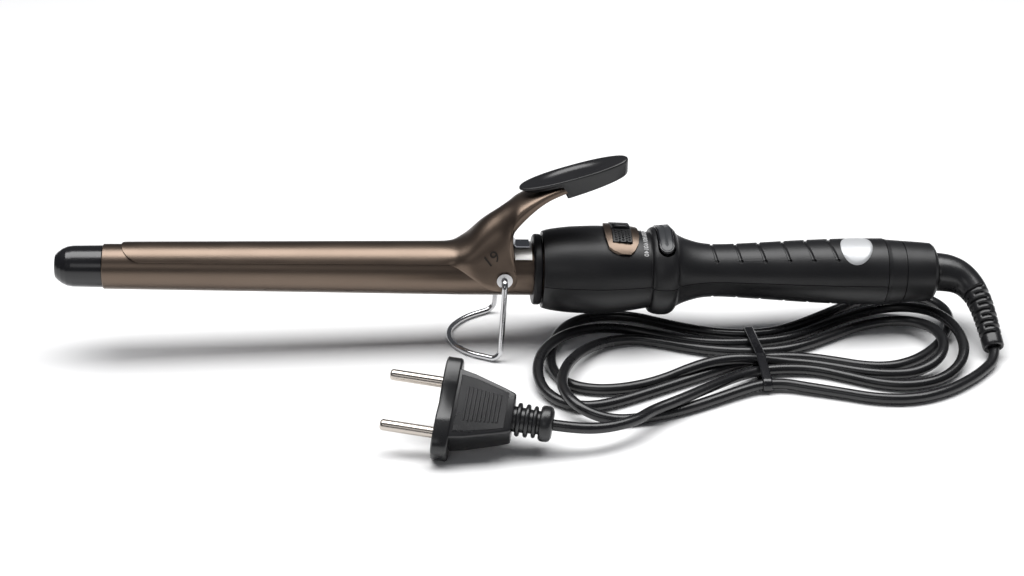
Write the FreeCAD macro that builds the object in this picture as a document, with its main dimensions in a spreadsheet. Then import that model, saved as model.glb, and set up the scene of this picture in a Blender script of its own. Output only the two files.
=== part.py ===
import FreeCAD, Part
import Sketcher
import os
import math
from FreeCAD import Vector, Placement, Rotation

# Curling iron, built along its own axis: x runs from the cool tip (0) to the
# tail, z is up through the clamp.  One Placement then leans the axis so that
# the deployed stand and the cord boot both touch the surface.  The cord, the
# plug and the stand wire are given directly where they lie.
doc = FreeCAD.newDocument("CurlingIron")
sheet = doc.addObject("Spreadsheet::Sheet", "Sizes")
SIZES = [
    ("tip_end", 17.6), ("tip_rad", 7.85), ("barrel_start", 17.8), ("barrel_front_rad", 8.4),
    ("barrel_rear_rad", 9.8), ("barrel_wall", 0.8), ("barrel_end", 192.0), ("taper_end", 150.0),
    ("clamp_start", 24.8), ("clamp_gap", 0.25), ("clamp_thick", 0.55), ("pivot_pos", 166.25), ("pivot_up", 1.2),
    ("ear_inner", 11.05), ("ear_outer", 11.65), ("strap_inner", 9.85), ("strap_outer", 10.6),
    ("strap_start", 160.6), ("strap_end", 176.6), ("eyelet_rad", 2.0), ("eyelet_hole", 1.18), ("eyelet_flange", 2.95),
    ("wire_rad", 1.1), ("stand_half", 19.4), ("ring_start", 177.3), ("ring_end", 180.6), ("ring_rad", 13.4),
    ("shell_start", 180.9), ("shell_end", 311.6), ("shell_wall", 2.0), ("parting", 0.12),
    ("tail_start", 311.9), ("tail_end", 331.8), ("sleeve_rad", 6.0), ("sleeve_gap", 0.08),
    ("cord_rad", 2.0), ("pin_rad", 2.0), ("pin_length", 19.0), ("pin_half_pitch", 9.5),
    ("board_half", 9.0), ("board_thick", 1.6), ("board_low", -8.6), ("lean_deg", 2.5), ("pivot_height", 29.0),
    ("origin_shift", -166.84), ("knob_rise", 1.5), ("plate_half_deg", 43.0), ("button_half", 11.9), ("button_width", 6.0),
]
D = {}
for row, (alias, value) in enumerate(SIZES, start=1):
    sheet.set("A%d" % row, alias)
    sheet.set("B%d" % row, repr(value))
    sheet.setAlias("B%d" % row, alias)
    D[alias] = value
doc.recompute()


def num(v):
    # a size is a number, or (alias, offset)
    return D[v[0]] + v[1] if isinstance(v, tuple) else float(v)


def expr(v):
    if isinstance(v, tuple):
        return "Sizes.%s + (%r)" % (v[0], float(v[1])) if v[1] else "Sizes.%s" % v[0]
    return None


LEAN = math.radians(D["lean_deg"])
Z0 = D["pivot_height"] + D["pivot_pos"] * math.sin(LEAN)
PL = Placement(Vector(D["origin_shift"], 0, Z0), Rotation(Vector(0, 1, 0), D["lean_deg"]))
PL_INV = PL.inverse()
PARTS = []


def keep(obj, label, pl=PL):
    obj.Label = label
    obj.Placement = pl
    PARTS.append(obj)
    return obj


def feature(label, shape, pl=PL):
    # a shape made with Part's own functions, placed after it is set
    if shape.ShapeType == "Compound" and len(shape.Solids) == 1:
        shape = shape.Solids[0]
    where = pl.multiply(shape.Placement)
    obj = doc.addObject("Part::Feature", "F_" + label)
    obj.Shape = shape
    return keep(obj, label, where)


def plane_of(body, role):
    for f in body.Origin.OriginFeatures:
        if f.Role == role:
            return f
    raise RuntimeError(role)


def outline(sk, pts):
    n = len(pts)
    vals = [(num(a), num(b)) for a, b in pts]
    for i in range(n):
        j = (i + 1) % n
        sk.addGeometry(Part.LineSegment(Vector(vals[i][0], vals[i][1], 0), Vector(vals[j][0], vals[j][1], 0)), False)
    for i in range(n):
        sk.addConstraint(Sketcher.Constraint("Coincident", i, 2, (i + 1) % n, 1))
    for i in range(n):
        for kind, axis_id, v, k in (("DistanceX", -2, pts[i][0], 0), ("DistanceY", -1, pts[i][1], 1)):
            if abs(vals[i][k]) < 1e-9:
                sk.addConstraint(Sketcher.Constraint("PointOnObject", i, 1, axis_id))
                continue
            c = sk.addConstraint(Sketcher.Constraint(kind, -1, 1, i, 1, vals[i][k]))
            e = expr(v)
            if e:
                sk.setExpression("Constraints[%d]" % c, e)


def turned(label, pts, fillets=(), pl=PL):
    # a turned piece: closed outline (x, radius) revolved about the long axis
    body = doc.addObject("PartDesign::Body", "B_" + label)
    sk = body.newObject("Sketcher::SketchObject", "S_" + label)
    sk.AttachmentSupport = [(plane_of(body, "XY_Plane"), "")]
    sk.MapMode = "FlatFace"
    outline(sk, pts)
    rev = body.newObject("PartDesign::Revolution", "R_" + label)
    rev.Profile = sk
    rev.ReferenceAxis = (sk, ["H_Axis"])
    rev.Angle = 360.0
    doc.recompute()
    for k, (pred, size) in enumerate(fillets):
        last = body.Tip
        names = ["Edge%d" % (i + 1) for i, e in enumerate(last.Shape.Edges)
                 if e.Curve.TypeId == "Part::GeomCircle" and pred(e.Curve.Center.x, e.Curve.Radius)]
        fi = body.newObject("PartDesign::Fillet", "Fi%d_%s" % (k, label))
        fi.Base = (last, names)
        fi.Radius = size
        doc.recompute()
    return keep(body, label, pl)


def rev_solid(pts, a0=None, a1=None):
    # revolve an (x, r) outline about x; a0..a1 degrees from the top, + towards +y
    face = Part.Face(Part.makePolygon([Vector(x, 0, r) for x, r in pts] + [Vector(pts[0][0], 0, pts[0][1])]))
    if a0 is None:
        return face.revolve(Vector(0, 0, 0), Vector(1, 0, 0), 360)
    face.rotate(Vector(0, 0, 0), Vector(1, 0, 0), -a0)
    return face.revolve(Vector(0, 0, 0), Vector(1, 0, 0), -(a1 - a0))


def spline_rev(outer, inner_pts, a0=None, a1=None):
    # outer: smooth curve through (x, r); inner_pts closes it back
    bs = Part.BSplineCurve()
    bs.interpolate([Vector(x, 0, r) for x, r in outer])
    back = [Vector(outer[-1][0], 0, outer[-1][1])] + [Vector(x, 0, r) for x, r in inner_pts] + \
           [Vector(outer[0][0], 0, outer[0][1])]
    wire = Part.Wire([bs.toShape()] + Part.makePolygon(back).Edges)
    face = Part.Face(wire)
    if a0 is None:
        return face.revolve(Vector(0, 0, 0), Vector(1, 0, 0), 360)
    face.rotate(Vector(0, 0, 0), Vector(1, 0, 0), -a0)
    return face.revolve(Vector(0, 0, 0), Vector(1, 0, 0), -(a1 - a0))


def prism(pts, plane, lo, hi):
    # straight-sided prism: outline in xz (extruded along y) or xy (along z)
    if plane == "xz":
        ps = [Vector(a, lo, b) for a, b in pts]
        d = Vector(0, hi - lo, 0)
    else:
        ps = [Vector(a, b, lo) for a, b in pts]
        d = Vector(0, 0, hi - lo)
    return Part.Face(Part.makePolygon(ps + [ps[0]])).extrude(d)


def box(x0, x1, y0, y1, z0, z1):
    return Part.makeBox(x1 - x0, y1 - y0, z1 - z0, Vector(x0, y0, z0))


def cyl(r, p, d, length):
    return Part.makeCylinder(r, length, Vector(*p), Vector(*d))


def stadium(cx, half, width, z0, z1):
    # long along y, round ends, extruded along z
    r = width / 2.0
    s = box(cx - r, cx + r, -(half - r), half - r, z0, z1)
    return s.fuse([cyl(r, (cx, half - r, z0), (0, 0, 1), z1 - z0), cyl(r, (cx, -(half - r), z0), (0, 0, 1), z1 - z0)])


RADII = {}


def tube(label, pts, rad, share=0.45):
    # round bar along straight runs joined by tangent arcs
    P = [Vector(*p) for p in pts]
    edges = []
    radii = []
    start = P[0]
    length = 0.0
    for i in range(1, len(P) - 1):
        a = (P[i - 1] - P[i])
        b = (P[i + 1] - P[i])
        la, lb = a.Length, b.Length
        a = a / la
        b = b / lb
        turn = math.pi - a.getAngle(b)
        t = share * min(la, lb)
        rr = t / math.tan(turn / 2.0)
        radii.append(round(rr, 1))
        p1 = P[i] + a * t
        p2 = P[i] + b * t
        bis = (a + b)
        bis = bis / bis.Length
        centre = P[i] + bis * (rr / math.cos(turn / 2.0))
        mid = centre - bis * rr
        edges.append(Part.LineSegment(start, p1).toShape())
        edges.append(Part.Arc(p1, mid, p2).toShape())
        length += (p1 - start).Length + rr * turn
        start = p2
    edges.append(Part.LineSegment(start, P[-1]).toShape())
    length += (P[-1] - start).Length
    path = Part.Wire(edges)
    ring = Part.Wire([Part.Circle(P[0], P[1] - P[0], rad).toShape()])
    solid = path.makePipeShell([ring], True, False)
    RADII[label] = (radii, round(length, 1), round(solid.Volume / (math.pi * rad * rad * length), 4))
    return solid


# ------------------------------------------------------------------ barrel end
turned("cool_tip", [(0.3, 1.9), (0.3, 4.4), (1.3, 5.4), (2.8, 6.5), (4.6, 7.3), (6.6, 7.65), (("tip_end", 0), ("tip_rad", 0)),
                    (("tip_end", 0), 7.3), (24.0, 7.3), (24.0, 4.0), (9.0, 4.0), (9.0, 1.2), (1.8, 1.2), (1.8, 1.9)],
       fillets=[(lambda x, r: 0.9 < x < 5.0 and r > 5.0, 1.2)])
turned("tip_screw", [(0.0, 0), (0.0, 1.3), (0.3, 1.6), (1.8, 1.6), (1.8, 1.1), (14.0, 1.1), (14.0, 0)])
turned("barrel", [(("barrel_start", 0), 7.35), (("barrel_start", 0), ("barrel_front_rad", -0.25)), (18.1, ("barrel_front_rad", 0)),
                  (("taper_end", 0), ("barrel_rear_rad", 0)), (("barrel_end", 0), ("barrel_rear_rad", 0)),
                  (("barrel_end", 0), 9.0), (("taper_end", 0), 9.0), (24.5, 7.6), (24.5, 7.35)])
barrel_full = PARTS.pop()
barrel_full.Label = "barrel_tube"
barrel_full.Placement = Placement()
holes = doc.addObject("Part::Cylinder", "BarrelHoles")
holes.Radius = 3.2
holes.Height = 24
holes.Placement = Placement(Vector(D["pivot_pos"], 12, D["pivot_up"]), Rotation(Vector(1, 0, 0), 90))
cut = doc.addObject("Part::Cut", "BarrelCut")
cut.Base = barrel_full
cut.Tool = holes
doc.recompute()
keep(cut, "barrel")

# heater: two half rounds, the ceramic plate between them, the sleeve on the leads
core_a = rev_solid([(34, 0), (34, 7.4), (98, 8.1), (98, 0)]).common(box(30, 100, -9, 9, 1.75, 9))
core_b = rev_solid([(34, 0), (34, 7.4), (98, 8.1), (98, 0)]).common(box(30, 100, -9, 9, -9, -1.75))
feature("heater_halves", Part.makeCompound([core_a, core_b]))
ptc = doc.addObject("Part::Box", "PtcElement")
ptc.Length, ptc.Width, ptc.Height = 56, 12, 3.5
keep(ptc, "ptc_element", PL.multiply(Placement(Vector(38, -6, -1.75), Rotation())))
mica = doc.addObject("Part::Cylinder", "MicaOuter")
mica.Radius, mica.Height = 6.6, 46
mica_in = doc.addObject("Part::Cylinder", "MicaInner")
mica_in.Radius, mica_in.Height = 6.3, 46
mica_cut = doc.addObject("Part::Cut", "MicaSleeve")
mica_cut.Base, mica_cut.Tool = mica, mica_in
keep(mica_cut, "mica_sleeve", PL.multiply(Placement(Vector(100, 0, 0), Rotation(Vector(0, 1, 0), 90))))
feature("thermal_fuse", cyl(1.7, (108, 0, 3.2), (1, 0, 0), 11).fuse(cyl(0.5, (104, 0, 3.2), (1, 0, 0), 19)))
leads = []
for y in (-3.0, 3.0):
    leads.append(tube("heater_lead", [(98.2, y, -3.0), (140, y, -3.0), (162, y, -5.2), (194.4, y, -6.0)], 0.9))
feature("heater_leads", Part.makeCompound(leads))
turned("barrel_holder", [(181.1, ("barrel_rear_rad", 0)), (181.1, 12.3), (183.0, 12.6), (191.5, 12.6), (194.5, 12.6), (194.5, 8.0), (192.0, 8.0), (192.0, ("barrel_rear_rad", 0))])
turned("front_ring", [(("ring_start", 0), ("barrel_rear_rad", 0)), (("ring_start", 0), ("ring_rad", 0)), (("ring_end", 0), ("ring_rad", 0)), (("ring_end", 0), ("barrel_rear_rad", 0))],
       fillets=[(lambda x, r: r > 12, 1.1)])

# ------------------------------------------------------------------ clamp
PX, PZ = D["pivot_pos"], D["pivot_up"]
g, t = D["clamp_gap"], D["clamp_thick"]


def barrel_r(x):
    k = min(max((x - 18.1) / (D["taper_end"] - 18.1), 0.0), 1.0)
    return D["barrel_front_rad"] + k * (D["barrel_rear_rad"] - D["barrel_front_rad"])


x1 = 145.0
spoon = rev_solid([(D["clamp_start"], barrel_r(D["clamp_start"]) + g), (D["clamp_start"], barrel_r(D["clamp_start"]) + g + t),
                   (x1, barrel_r(x1) + g + t), (x1, barrel_r(x1) + g)], -55, 55)
tipcut = prism([(20, -12), (D["clamp_start"] + 13.0, -12)] +
               [(D["clamp_start"] + 13.0 * (1 - math.cos(math.radians(q))) , -12 + 12 * math.sin(math.radians(q))) for q in range(10, 181, 10)] +
               [(20, 12)], "xy", 0, 14)
nose = []
for q in range(-90, 91, 10):
    nose.append((D["clamp_start"] + 11.0 * (1 - math.cos(math.radians(q)) ** 0.8) if abs(q) < 90 else D["clamp_start"] + 11.0, 8.2 * math.sin(math.radians(q))))
nose_prism = prism(nose + [(160, 8.2), (170, 8.6), (170, -8.6), (160, -8.2)], "xy", 0, 14)
spoon = spoon.common(nose_prism)


def arch(x, w, zt, zb, n=24, power=0.62):
    # inverted U across the iron: half width w, crown zt, feet zb
    out = []
    for i in range(n + 1):
        a = math.pi * (i / float(n)) - math.pi / 2
        y = w * math.copysign(abs(math.sin(a)) ** 0.92, a)
        z = zb + (zt - zb) * abs(math.cos(a)) ** power
        out.append(Vector(x, y, z))
    return out


def arch_wire(x, w, zt, zb, th, power):
    o = arch(x, w, zt, zb, power=power)
    i = arch(x, w - th, zt - th, zb, power=power)
    i.reverse()
    return Part.makePolygon(o + i + [o[0]])


def arc_section(x, r, half, th, n=24):
    o = [Vector(x, r * math.sin(math.radians(half) * (2.0 * k / n - 1)), r * math.cos(math.radians(half) * (2.0 * k / n - 1))) for k in range(n + 1)]
    q = r - th
    i = [Vector(x, q * math.sin(math.radians(half) * (2.0 * k / n - 1)), q * math.cos(math.radians(half) * (2.0 * k / n - 1))) for k in range(n + 1)]
    i.reverse()
    return Part.makePolygon(o + i + [o[0]])


ARM = [  # x, half width, crown, feet, arch power
    (150.0, 10.4, 11.9, 3.0, 0.62), (152.0, 10.9, 13.4, 1.0, 0.64), (154.6, 11.3, 16.5, -1.5, 0.66), (157.5, 11.6, 19.9, -3.6, 0.70),
    (161.5, 11.65, 23.0, -4.2, 0.72), (165.8, 11.65, 26.3, -4.2, 0.72), (169.0, 11.65, 28.4, -4.2, 0.72), (171.5, 11.6, 29.9, -4.0, 0.70),
    (174.8, 8.6, 31.7, 24.0, 0.46), (178.4, 7.5, 33.6, 28.4, 0.40), (184.0, 6.6, 36.0, 31.8, 0.36), (190.0, 6.2, 37.6, 34.4, 0.34)]
wires = [arc_section(x1, barrel_r(x1) + g + t, 55, t)] + [arch_wire(x, w, zt, zb, 0.6, pw) for x, w, zt, zb, pw in ARM]
arm = Part.makeLoft(wires, True, True)
side = [(140, 20), (140, 6.0), (147.5, 4.2), (152.8, 2.4), (156.9, -0.4), (159.6, -2.6)]
for q in range(215, 361, 12):
    side.append((PX + 5.0 * math.cos(math.radians(q)), PZ + 5.0 * math.sin(math.radians(q))))
side += [(PX + 4.6, PZ + 2.2), (169.6, 6.5), (168.2, 10.5), (167.7, 15.5), (167.9, 18.4), (169.4, 20.4), (171.9, 23.2), (174.8, 26.0), (178.4, 29.2), (182.0, 31.9), (187.0, 34.0), (191.0, 35.4), (196, 50), (150, 50)]
arm = arm.common(prism(side, "xz", -14, 14))
tang = prism([(188.4, 36.6), (203.0, 41.2), (203.2, 40.6), (188.6, 36.0)], "xz", -4.2, 4.2)
arm_holes = cyl(D["eyelet_rad"] + 0.07, (PX, -14, PZ), (0, 1, 0), 28)
lever = spoon.fuse([arm, tang]).cut(arm_holes)
lever = lever.removeSplitter()
feature("clamp_lever", lever)

# thumb paddle: long oval pad, dished on top, deeper behind where it grips the arm
pad_pl = Placement(Vector(190.65, 0, 40.5), Rotation(Vector(0, 1, 0), -17.5))
oval = []
for q in range(0, 360, 10):
    cx = math.cos(math.radians(q))
    sy = math.sin(math.radians(q))
    oval.append(Vector(20.8 * math.copysign(abs(cx) ** 0.88, cx), 6.6 * math.copysign(abs(sy) ** 0.86, sy), 0))
curve = Part.BSplineCurve()
curve.interpolate(oval, PeriodicFlag=True)
pad = Part.Face(Part.Wire([curve.toShape()])).extrude(Vector(0, 0, 8))
side_pad = prism([(-22, 5.2), (-22, 7.3), (-8, 7.8), (10, 7.8), (22, 7.4), (22, 2.2), (19.5, 1.6), (-3.9, 0.3), (-5.0, 5.0)], "xz", -12, 12)
pad = pad.common(side_pad)
dish = Part.makeSphere(1.0)
stretch = App.Matrix()
stretch.scale(14.0, 4.7, 0.9)
dish = dish.transformGeometry(stretch)
dish.translate(Vector(-0.5, 0, 7.8))
pad = pad.cut(dish)
pad.translate(Vector(0, 0, -7.7))
pad.Placement = pad_pl.multiply(pad.Placement)
pad = pad.cut(lever)
pad = max(pad.Solids, key=lambda s: s.Volume)
feature("thumb_paddle", pad)

# saddle bracket: steel strap over the barrel with the two pivot ears
strap = rev_solid([(D["strap_start"], D["strap_inner"]), (D["strap_start"], D["strap_outer"]), (D["strap_end"], D["strap_outer"]), (D["strap_end"], D["strap_inner"])], -108, 108)
window = prism([(164.5, -20), (166.2, -20), (166.2, 20), (164.5, 20)], "xy", 7.0, 12)
front = prism([(150, 8.2), (162.5, 8.2), (164.5, 10.8), (150, 12.0)], "xz", -14, 14)
rearc = prism([(169.4, -14), (180, -14), (180, 7.6), (168.6, 7.6), (168.9, -2.0)], "xz", -14, 14)
strap = strap.cut([window, rearc, cyl(D["eyelet_rad"], (PX, -14, PZ), (0, 1, 0), 28)])
strap = strap.cut(prism([(155, 4), (166.0, 4), (166.0, 14), (155, 14)], "xz", -14, 14))
strap = max(strap.Solids, key=lambda s: s.Volume)
feature("saddle_bracket", strap)

eyelets = []
for sgn in (-1, 1):
    d = (0, sgn, 0)
    e = cyl(D["eyelet_rad"], (PX, sgn * 9.15, PZ), d, 3.2)
    e = e.fuse([cyl(2.7, (PX, sgn * 9.15, PZ), d, 0.6), cyl(D["eyelet_flange"], (PX, sgn * 11.85, PZ), d, 0.55)])
    e = e.cut(cyl(D["eyelet_hole"], (PX, sgn * 9.0, PZ), d, 4.0))
    eyelets.append(e)
eyelet_shape = Part.makeCompound(eyelets)
for f in PARTS:
    if f.Label == "saddle_bracket":
        f.Shape = f.Shape.copy()
        s = strap
        for e in (cyl(2.72, (PX, -9.78, PZ), (0, 1, 0), 19.56),):
            s = s.cut(e)
        f.Shape = max(s.Solids, key=lambda q: q.Volume)
        f.Placement = PL
feature("pivot_eyelets", eyelet_shape)

# leaf spring: foot on the strap's top, rises and bears under the arm
leaf_path = [(175.8, 10.65), (170.8, 10.65), (168.8, 13.0), (170.4, 19.0), (174.6, 30.1)]
leaf = []
for (xa, za), (xb, zb) in zip(leaf_path[:-1], leaf_path[1:]):
    L = math.hypot(xb - xa, zb - za)
    nx, nz = -(zb - za) / L * 0.2, (xb - xa) / L * 0.2
    leaf.append(prism([(xa - nx, za - nz), (xb - nx, zb - nz), (xb + nx, zb + nz), (xa + nx, za + nz)], "xz", -3, 3))
    leaf.append(cyl(0.2, (xb, -3, zb), (0, 1, 0), 6))
leaf_s = leaf[0].fuse(leaf[1:])
leaf_s.translate(Vector(0, 0, 0.2))
feature("clamp_spring", leaf_s)

# ------------------------------------------------------------------ stand wire
pv = PL.multVec(Vector(PX, 0, PZ))
H = D["stand_half"]
wr = D["wire_rad"]


def wire_pts():
    half = [(pv.x, 9.9, pv.z), (pv.x, 14.6, pv.z), (pv.x - 0.4, 15.4, pv.z - 3.0), (-2.6, H, 3.6), (-3.6, H, wr), (-8.2, 17.6, wr), (-15.6, 12.6, wr), (-20.6, 5.6, wr)]
    pts = [(a, -b, c) for a, b, c in half] + [(-21.7, 0.0, wr)] + list(reversed(half))
    return pts


wp = wire_pts()
# the two bends at each eyelet and foot use their own short runs
stand = tube("wire_stand", [wp[0], (pv.x, -14.4, pv.z), (-2.9, -H, 3.2), (-5.2, -19.2, wr), (-15.0, -14.0, wr), (-21.4, -5.0, wr), (-21.4, 5.0, wr),
                            (-15.0, 14.0, wr), (-5.2, 19.2, wr), (-2.9, H, 3.2), (pv.x, 14.4, pv.z), wp[-1]], wr, share=0.46)
feature("wire_stand", stand, Placement())

# ------------------------------------------------------------------ handle shells
BODY = [(180.9, 14.5), (182.4, 15.0), (185.5, 15.6), (191.5, 16.3), (197.7, 16.6), (203.8, 16.65), (210.0, 16.1), (216.0, 15.25), (221.0, 14.4)]
COLLAR = [(221.4, 14.6), (221.9, 15.8), (223.3, 16.5), (225.3, 16.9), (226.8, 16.95), (228.4, 16.8), (230.2, 16.0), (231.4, 14.6)]
NECK = [(231.9, 13.9), (234.5, 12.55), (237.6, 11.45), (240.7, 10.65), (243.8, 10.2), (249.5, 10.05), (258.8, 10.5), (268.1, 11.05),
        (277.4, 11.65), (286.8, 12.15), (294.0, 12.45), (303.0, 12.65), (311.6, 12.75)]
w = D["shell_wall"]


def curve_of(pts, dr=0.0):
    bs = Part.BSplineCurve()
    bs.interpolate([Vector(x, 0, r + dr) for x, r in pts])
    return bs.toShape()


edges = [curve_of(BODY), Part.LineSegment(Vector(221.0, 0, 14.4), Vector(221.4, 0, 14.6)).toShape(), curve_of(COLLAR),
         Part.LineSegment(Vector(231.4, 0, 14.6), Vector(231.9, 0, 13.9)).toShape(), curve_of(NECK)]
inner = [(311.6, 10.55), (294.0, 10.4), (277.4, 9.6), (258.8, 8.45), (249.5, 8.05), (243.8, 8.2), (237.6, 9.45), (233.0, 11.4), (230.6, 13.4), (227.0, 14.8),
         (224.5, 14.6), (221.0, 12.6), (216.0, 13.2), (210.0, 14.1), (203.8, 14.6), (195.0, 14.4), (194.6, 12.65), (180.9, 12.65)]
poly = Part.makePolygon([Vector(311.6, 0, 12.75)] + [Vector(x, 0, r) for x, r in inner] + [Vector(180.9, 0, 14.5)])
hface = Part.Face(Part.Wire(edges + poly.Edges))
shell_all = hface.revolve(Vector(0, 0, 0), Vector(1, 0, 0), 360)
pt = D["parting"]
upper = shell_all.common(box(170, 320, -20, 20, pt, 20))
lower = shell_all.common(box(170, 320, -20, 20, -20, -pt))
# openings: the button over the collar, the slider's slot, light pipe
upper = upper.cut(stadium(226.6, D["button_half"] + 0.35, D["button_width"] + 0.7, 3, 20))
slot = rev_solid([(209.4, 11), (209.4, 18), (213.6, 18), (213.6, 11)], -24, 24)
upper = upper.cut(slot)
screw_at = [(188.5, -1), (242.5, -1), (295.0, -1)]
for x, _ in screw_at:
    lower = lower.cut(cyl(1.7, (x, 0, -20), (0, 0, 1), 20))
bosses = []
for x, r_in in ((242.5, 8.3), (295.0, 10.3)):
    post = cyl(3.0, (x, 0, 0.4), (0, 0, 1), r_in - 0.2).cut(cyl(1.2, (x, 0, 0), (0, 0, 1), r_in - 2.0))
    bosses.append(post)
upper = upper.fuse(bosses)
low_b = [cyl(3.6, (242.5, 0, -9.0), (0, 0, 1), 8.6).cut(cyl(1.3, (242.5, 0, -12), (0, 0, 1), 14)).cut(cyl(2.4, (242.5, 0, -12), (0, 0, 1), 6.0)),
         cyl(3.6, (295.0, 0, -11.2), (0, 0, 1), 10.8).cut(cyl(1.3, (295.0, 0, -14), (0, 0, 1), 16)).cut(cyl(2.4, (295.0, 0, -14), (0, 0, 1), 8.0))]
lower = lower.fuse(low_b)
lower = lower.cut([cyl(2.4, (242.5, 0, -12), (0, 0, 1), 6.0), cyl(2.4, (295.0, 0, -14), (0, 0, 1), 8.0), cyl(1.3, (242.5, 0, -12), (0, 0, 1), 14), cyl(1.3, (295.0, 0, -14), (0, 0, 1), 16)])
upper = max(upper.Solids, key=lambda s: s.Volume)
lower = max(lower.Solids, key=lambda s: s.Volume)
feature("upper_shell", upper)
feature("lower_shell", lower)
screws = []
for x, zs, head in ((242.5, -6.1, 2.2), (295.0, -6.1, 2.2)):
    screws.append(cyl(2.2, (x, 0, zs - 1.6), (0, 0, 1), 1.6).fuse(cyl(1.2, (x, 0, zs - 0.1), (0, 0, 1), 11.4)))
feature("shell_screws", Part.makeCompound(screws))

# ------------------------------------------------------------------ temperature slider
SL = [(203.6, 16.97), (206.0, 16.9), (209.0, 16.55), (212.5, 16.1), (215.0, 15.72), (217.0, 15.38)]
pl_out = [(x, r + 0.75) for x, r in SL]
plate = rev_solid(pl_out + [(x, r) for x, r in reversed(SL)], -D["plate_half_deg"], D["plate_half_deg"])
shield = prism([(203.6, -3.0), (203.8, -6.0), (204.7, -9.8), (206.4, -10.9), (209.0, -11.55), (211.3, -11.85), (213.0, -11.3), (214.6, -9.8), (216.0, -7.2), (216.7, -3.0),
                (216.7, 3.0), (216.0, 7.2), (214.6, 9.8), (213.0, 11.3), (211.3, 11.85), (209.0, 11.55), (206.4, 10.9), (204.7, 9.8), (203.8, 6.0), (203.6, 3.0)], "xy", 4, 20)
plate = plate.common(shield)
feature("slider_plate", max(plate.Solids, key=lambda s: s.Volume))
kp = [(206.2, 17.68), (206.6, 18.35), (207.8, 18.7), (211.8, 18.4), (213.4, 17.8), (213.9, 16.65)]
knob = rev_solid(kp + [(212.5, 16.85), (209.0, 17.3)], -27, 27)
knob = knob.cut(rev_solid([(205.8, 18.05), (205.8, 19.2), (216, 19.2), (216, 17.75), (211.0, 17.9)], 3.2, 28)).cut(
    rev_solid([(205.8, 18.05), (205.8, 19.2), (216, 19.2), (216, 17.75), (211.0, 17.9)], -28, -3.2))
knob = knob.cut(plate)
feature("slider_knob", max(knob.Solids, key=lambda s: s.Volume))
arm_s = rev_solid([(210.2, 2.6), (210.2, 16.42), (212.8, 16.05), (212.8, 2.6)], -4, 4).fuse(
    [cyl(3.4, (209.4, 0, 0), (1, 0, 0), 4.2), cyl(1.5, (201.0, 0, 0), (1, 0, 0), 9.0)])
arm_s = arm_s.cut(plate)
feature("slider_arm", max(arm_s.Solids, key=lambda s: s.Volume))
turned("potentiometer", [(198.0, 1.58), (198.0, 5.6), (205.2, 5.6), (205.2, 3.0), (207.6, 3.0), (207.6, 1.58)])
# the shaft's blind end clears the body: closed back plate
turned("pot_bracket", [(195.0, 0), (195.0, 8.6), (196.2, 8.6), (196.2, 5.0), (197.9, 5.0), (197.9, 0)])

# ------------------------------------------------------------------ power button
bt = spline_rev([(222.6, 16.9), (224.4, 17.5), (226.6, 17.65), (228.8, 17.35), (230.6, 16.5)], [(230.6, 13.7), (222.6, 13.7)], -64, 64)
bt = bt.common(stadium(226.6, D["button_half"], D["button_width"], 3, 20))
bt = max(bt.Solids, key=lambda s: s.Volume)
stem = cyl(1.4, (226.6, 0, 3.6), (0, 0, 1), 10.6)
bt = bt.fuse(stem).removeSplitter()
feature("power_button", bt)
feature("button_switch", box(224.6, 230.6, -3, 3, -1.2, 2.4).fuse(cyl(1.0, (226.6, 0, 2.4), (0, 0, 1), 0.25)))
sp = Part.Wire(Part.makeHelix(1.55, 10.6, 2.3).Edges)
sprof = Part.Wire([Part.Circle(Vector(2.3, 0, 0), Vector(0, 1, 0.1), 0.25).toShape()])
spring = sp.makePipeShell([sprof], True, True)
spring.translate(Vector(226.6, 0, 2.75))
feature("button_spring", spring)

# ------------------------------------------------------------------ electronics
board = doc.addObject("PartDesign::Body", "B_board")
bs_ = board.newObject("Sketcher::SketchObject", "S_board")
bs_.AttachmentSupport = [(plane_of(board, "XY_Plane"), "")]
bs_.MapMode = "FlatFace"
outline(bs_, [(197.5, ("board_half", -18)), (230.0, -9.0), (230.0, ("board_half", 0)), (197.5, ("board_half", 0))])
padf = board.newObject("PartDesign::Pad", "P_board")
padf.Profile = bs_
padf.setExpression("Length", "Sizes.board_thick")
doc.recompute()
keep(board, "circuit_board", PL.multiply(Placement(Vector(0, 0, D["board_low"]), Rotation())))
zt = D["board_low"] + D["board_thick"]
comps = [box(199, 206, -8.5, -6.3, zt, zt + 4), cyl(2.0, (208.6, 5.6, zt), (0, 0, 1), 2.2).common(box(190, 240, -8.8, 8.8, -10, 10)),
         box(218.0, 222.5, -8, -3, zt, zt + 3.6), box(216.0, 223.0, 2.5, 8.5, zt, zt + 4.8), box(225.0, 228.5, -8.2, -5.0, zt, zt + 2.2)]
feature("board_parts", Part.makeCompound(comps))
feature("switch_post", box(225.4, 229.8, -2.6, 2.6, zt, -1.2))
feature("indicator_led", cyl(1.4, (213.0, 0.0, zt), (0, 0, 1), 1.4).fuse(Part.makeSphere(1.4, Vector(213.0, 0, zt + 1.4))).common(box(205, 220, -5, 5, zt, zt + 5)))

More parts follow.
